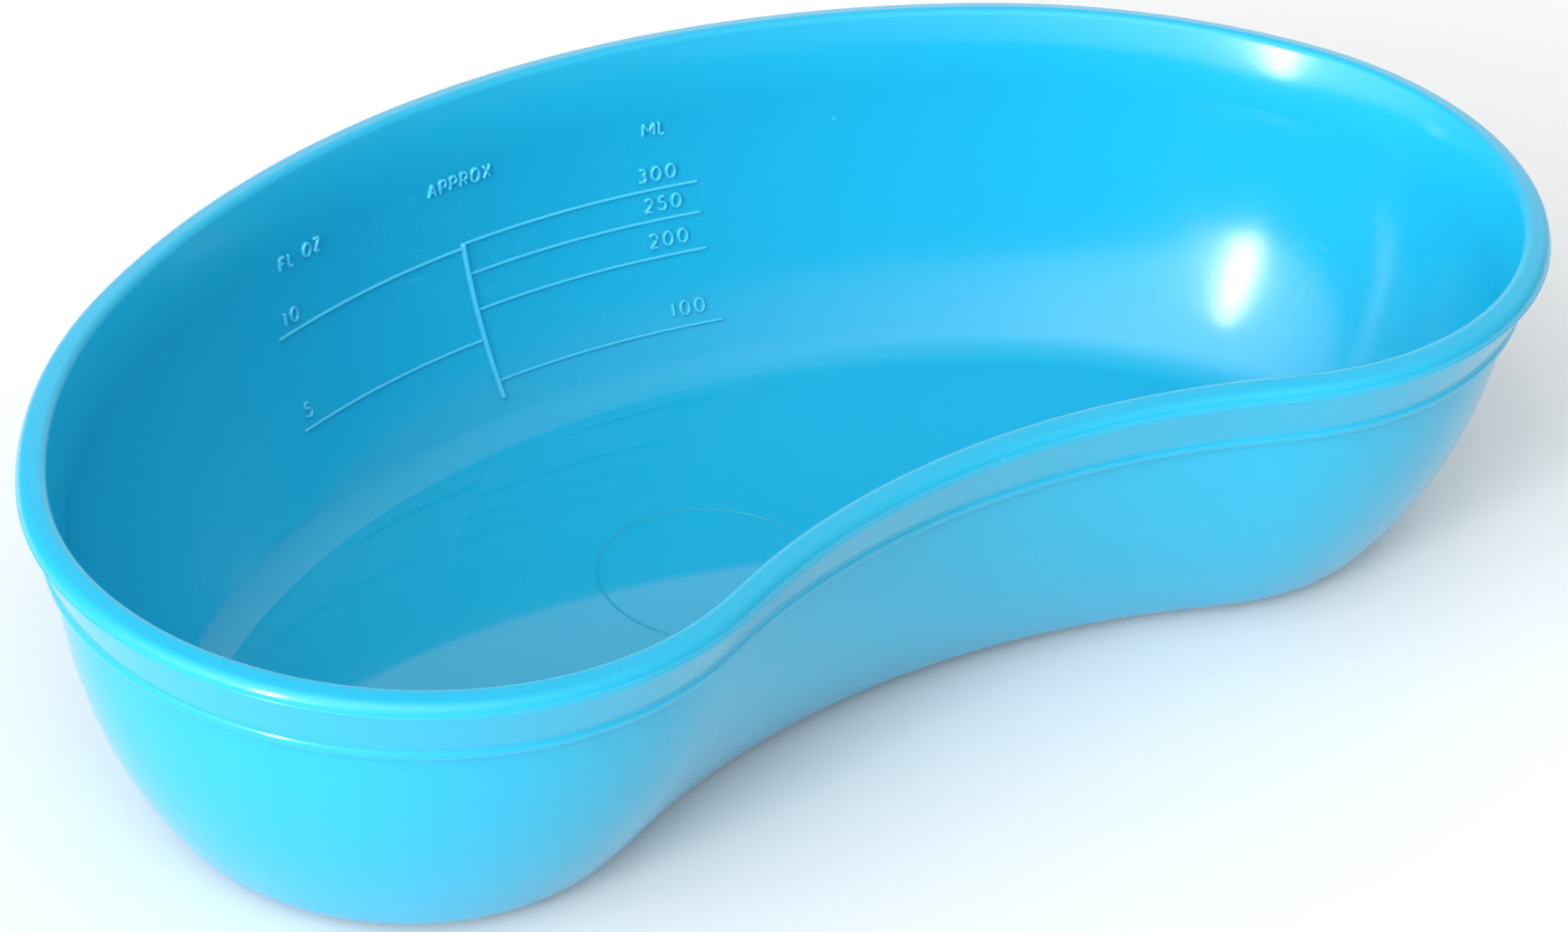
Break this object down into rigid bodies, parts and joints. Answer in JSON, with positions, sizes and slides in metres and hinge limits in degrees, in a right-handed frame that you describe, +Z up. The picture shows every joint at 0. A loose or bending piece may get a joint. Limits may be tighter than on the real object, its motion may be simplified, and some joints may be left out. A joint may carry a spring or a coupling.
{
  "type": "kidney dish",
  "caption": "Kidney-shaped moulded ward dish with sloping walls, a rounded heel, a tapered neck under a rolled-out rim, and a raised volume scale inside.",
  "frame": {"origin": "middle of the footprint, on the surface that the dish stands on", "axes": "+X along the length, with the scale's ml side towards +X; +Y from the notched side to the full side; +Z up"},
  "size_m": [0.205, 0.1148, 0.0445],
  "materials": {
    "moulding": "glossy, faintly translucent blue polypropylene, with light handling scratches",
    "relief": "the same blue polypropylene as the moulding, raised from its surface"
  },
  "bodies": {
    "root": {"floor_plate": "moulding", "heel_curve": "moulding", "full_side_wall": "moulding", "right_end_wall": "moulding", "notch_wall": "moulding", "left_end_wall": "moulding", "neck_band": "moulding", "rim_flange": "moulding", "floor_witness_ring": "relief", "scale_spine": "relief", "ml_lines": "relief", "fl_oz_lines": "relief", "ml_numbers": "relief", "fl_oz_numbers": "relief", "unit_ml": "relief", "unit_fl_oz": "relief", "word_approx": "relief"}
  },
  "joints": []
}
